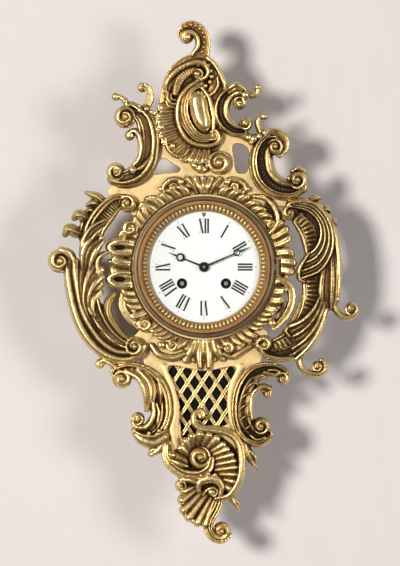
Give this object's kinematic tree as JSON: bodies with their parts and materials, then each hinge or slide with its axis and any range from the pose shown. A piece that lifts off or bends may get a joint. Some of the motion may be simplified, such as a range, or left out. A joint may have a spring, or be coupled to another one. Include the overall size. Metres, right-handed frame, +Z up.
{
  "type": "wall clock",
  "caption": "Gilt bronze rococo cartel wall clock with scrolling openwork case, hinged glazed bezel, enamel dial and a spring-driven striking movement.",
  "frame": {"origin": "centre of the hanger hole on the wall plane", "axes": "+Z up, -Y out of the wall towards the viewer, +X to the viewer's right"},
  "size_m": [0.3104, 0.0958, 0.5229],
  "materials": {
    "gilt_bronze": "chased and gilt, dark patina in the hollows",
    "matt_gilt": "matt gilding with a fine grain",
    "burnished_gilt": "burnished",
    "bezel_gilt": "worn brown gilding, smooth",
    "steel": "polished",
    "blued_steel": "blued to near black",
    "enamel": "glossy white enamel with black figures",
    "glass": "clear and domed",
    "cloth": "dark silk",
    "brass": "satin",
    "bell_metal": "polished"
  },
  "bodies": {
    "case": {"case_ground": "matt_gilt", "crest_shell": "gilt_bronze", "crest_cabochon": "burnished_gilt", "crest_scroll_left": "gilt_bronze", "crest_scroll_right": "gilt_bronze", "side_branch_left": "gilt_bronze", "side_branch_right": "gilt_bronze", "dial_surround": "gilt_bronze", "apron_scroll_left": "gilt_bronze", "apron_scroll_right": "gilt_bronze", "lattice_grille": "gilt_bronze", "grille_cloth": "cloth", "base_shell": "gilt_bronze", "case_screws": "steel", "case_drum": "brass", "hanger_plate": "steel", "wall_buttons": "brass", "back_door_hinge_pin": "steel", "bezel_base": "bezel_gilt", "bezel_hinge_pin": "steel", "dial_plate": "brass", "dial": "enamel", "front_plate": "brass", "back_plate": "brass", "pillars": "brass", "dial_posts": "brass", "movement_straps": "steel", "movement_screws": "steel", "suspension_cock": "brass", "suspension_spring": "steel", "bell": "bell_metal", "bell_stand": "brass"},
    "bezel_door": {"bezel": "bezel_gilt", "bezel_glass": "glass", "sight_ring": "gilt_bronze"},
    "rear_door": {"back_door": "brass"},
    "minute_work": {"minute_hand": "blued_steel", "hand_collet": "blued_steel", "cannon_pinion": "steel"},
    "minute_wheel_body": {"minute_wheel": "brass"},
    "hour_work": {"hour_hand": "blued_steel", "hour_wheel": "brass"},
    "going_drum": {"going_barrel": "brass", "going_mainspring": "steel"},
    "going_winder": {"going_arbor": "steel"},
    "intermediate": {"intermediate_wheel": "brass"},
    "centre": {"centre_wheel": "brass"},
    "third": {"third_wheel": "brass"},
    "escape": {"escape_wheel": "brass"},
    "pendulum_body": {"anchor": "steel", "pendulum": "brass"},
    "rating": {"rating_nut": "brass"},
    "regulator": {"regulator_arbor": "steel"},
    "strike_drum": {"strike_barrel": "brass", "strike_mainspring": "steel"},
    "strike_winder": {"strike_arbor": "steel"},
    "second": {"second_wheel": "brass"},
    "pin": {"pin_wheel": "brass"},
    "fly_body": {"fly": "brass"},
    "hammer_body": {"hammer": "steel"}
  },
  "joints": [
    {"name": "bezel_hinge", "type": "hinge", "parent": "case", "child": "bezel_door", "pos_m": [0.0736, -0.083, -0.074], "axis": [0, 0, 1], "range_deg": [0, 100]},
    {"name": "rear_door_hinge", "type": "hinge", "parent": "case", "child": "rear_door", "pos_m": [-0.0555, -0.0016, -0.074], "axis": [0, 0, 1], "range_deg": [0, 100]},
    {"name": "minute_hand_turn", "type": "hinge", "parent": "case", "child": "minute_work", "pos_m": [0, -0.05, -0.074], "axis": [0, 1, 0], "continuous": true},
    {"name": "minute_wheel_turn", "type": "hinge", "parent": "case", "child": "minute_wheel_body", "pos_m": [-0.00803, -0.05, -0.06253], "axis": [0, 1, 0], "continuous": true},
    {"name": "hour_hand_turn", "type": "hinge", "parent": "case", "child": "hour_work", "pos_m": [0, -0.05, -0.074], "axis": [0, 1, 0], "continuous": true},
    {"name": "escape_wheel_turn", "type": "hinge", "parent": "case", "child": "escape", "pos_m": [0, -0.05, -0.04274], "axis": [0, 1, 0], "continuous": true},
    {"name": "third_wheel_turn", "type": "hinge", "parent": "case", "child": "third", "pos_m": [-0.003, -0.05, -0.05698], "axis": [0, 1, 0], "continuous": true},
    {"name": "centre_wheel_turn", "type": "hinge", "parent": "case", "child": "centre", "pos_m": [0, -0.05, -0.074], "axis": [0, 1, 0], "continuous": true},
    {"name": "intermediate_wheel_turn", "type": "hinge", "parent": "case", "child": "intermediate", "pos_m": [0.01687, -0.05, -0.06706], "axis": [0, 1, 0], "continuous": true},
    {"name": "going_barrel_turn", "type": "hinge", "parent": "case", "child": "going_drum", "pos_m": [0.022, -0.05, -0.0905], "axis": [0, 1, 0], "continuous": true},
    {"name": "going_winding", "type": "hinge", "parent": "case", "child": "going_winder", "pos_m": [0.022, -0.05, -0.0905], "axis": [0, 1, 0], "range_deg": [0, 1440]},
    {"name": "pendulum_swing", "type": "hinge", "parent": "case", "child": "pendulum_body", "pos_m": [0, -0.022, -0.02966], "axis": [0, 1, 0], "range_deg": [-4, 4], "deforming": ["suspension_spring"]},
    {"name": "rating_nut_turn", "type": "hinge", "parent": "pendulum_body", "child": "rating", "pos_m": [0, -0.022, -0.234], "axis": [0, 0, 1], "range_deg": [-720, 720]},
    {"name": "regulator_turn", "type": "hinge", "parent": "case", "child": "regulator", "pos_m": [0, -0.05, -0.0215], "axis": [0, 1, 0], "range_deg": [-720, 720]},
    {"name": "fly_turn", "type": "hinge", "parent": "case", "child": "fly_body", "pos_m": [-0.01786, -0.05, -0.04241], "axis": [0, 1, 0], "continuous": true},
    {"name": "pin_wheel_turn", "type": "hinge", "parent": "case", "child": "pin", "pos_m": [-0.0233, -0.05, -0.05183], "axis": [0, 1, 0], "continuous": true},
    {"name": "second_wheel_turn", "type": "hinge", "parent": "case", "child": "second", "pos_m": [-0.01783, -0.05, -0.06686], "axis": [0, 1, 0], "continuous": true},
    {"name": "strike_barrel_turn", "type": "hinge", "parent": "case", "child": "strike_drum", "pos_m": [-0.022, -0.05, -0.0905], "axis": [0, 1, 0], "continuous": true},
    {"name": "strike_winding", "type": "hinge", "parent": "case", "child": "strike_winder", "pos_m": [-0.022, -0.05, -0.0905], "axis": [0, 1, 0], "range_deg": [0, 1440]},
    {"name": "hammer_lift", "type": "hinge", "parent": "case", "child": "hammer_body", "pos_m": [-0.037, -0.05, -0.056], "axis": [0, 1, 0], "range_deg": [0, 14]}
  ],
  "couplings": [
    {"joint": "minute_wheel_turn", "follows": "minute_hand_turn", "ratio": -0.33333},
    {"joint": "hour_hand_turn", "follows": "minute_hand_turn", "ratio": 0.083333},
    {"joint": "centre_wheel_turn", "follows": "minute_hand_turn", "ratio": 1},
    {"joint": "third_wheel_turn", "follows": "minute_hand_turn", "ratio": -11},
    {"joint": "escape_wheel_turn", "follows": "minute_hand_turn", "ratio": 132},
    {"joint": "intermediate_wheel_turn", "follows": "minute_hand_turn", "ratio": -0.15152},
    {"joint": "going_barrel_turn", "follows": "minute_hand_turn", "ratio": 0.021645},
    {"joint": "pin_wheel_turn", "follows": "second_wheel_turn", "ratio": -9},
    {"joint": "fly_turn", "follows": "second_wheel_turn", "ratio": 67.5},
    {"joint": "strike_barrel_turn", "follows": "second_wheel_turn", "ratio": -0.14286}
  ]
}
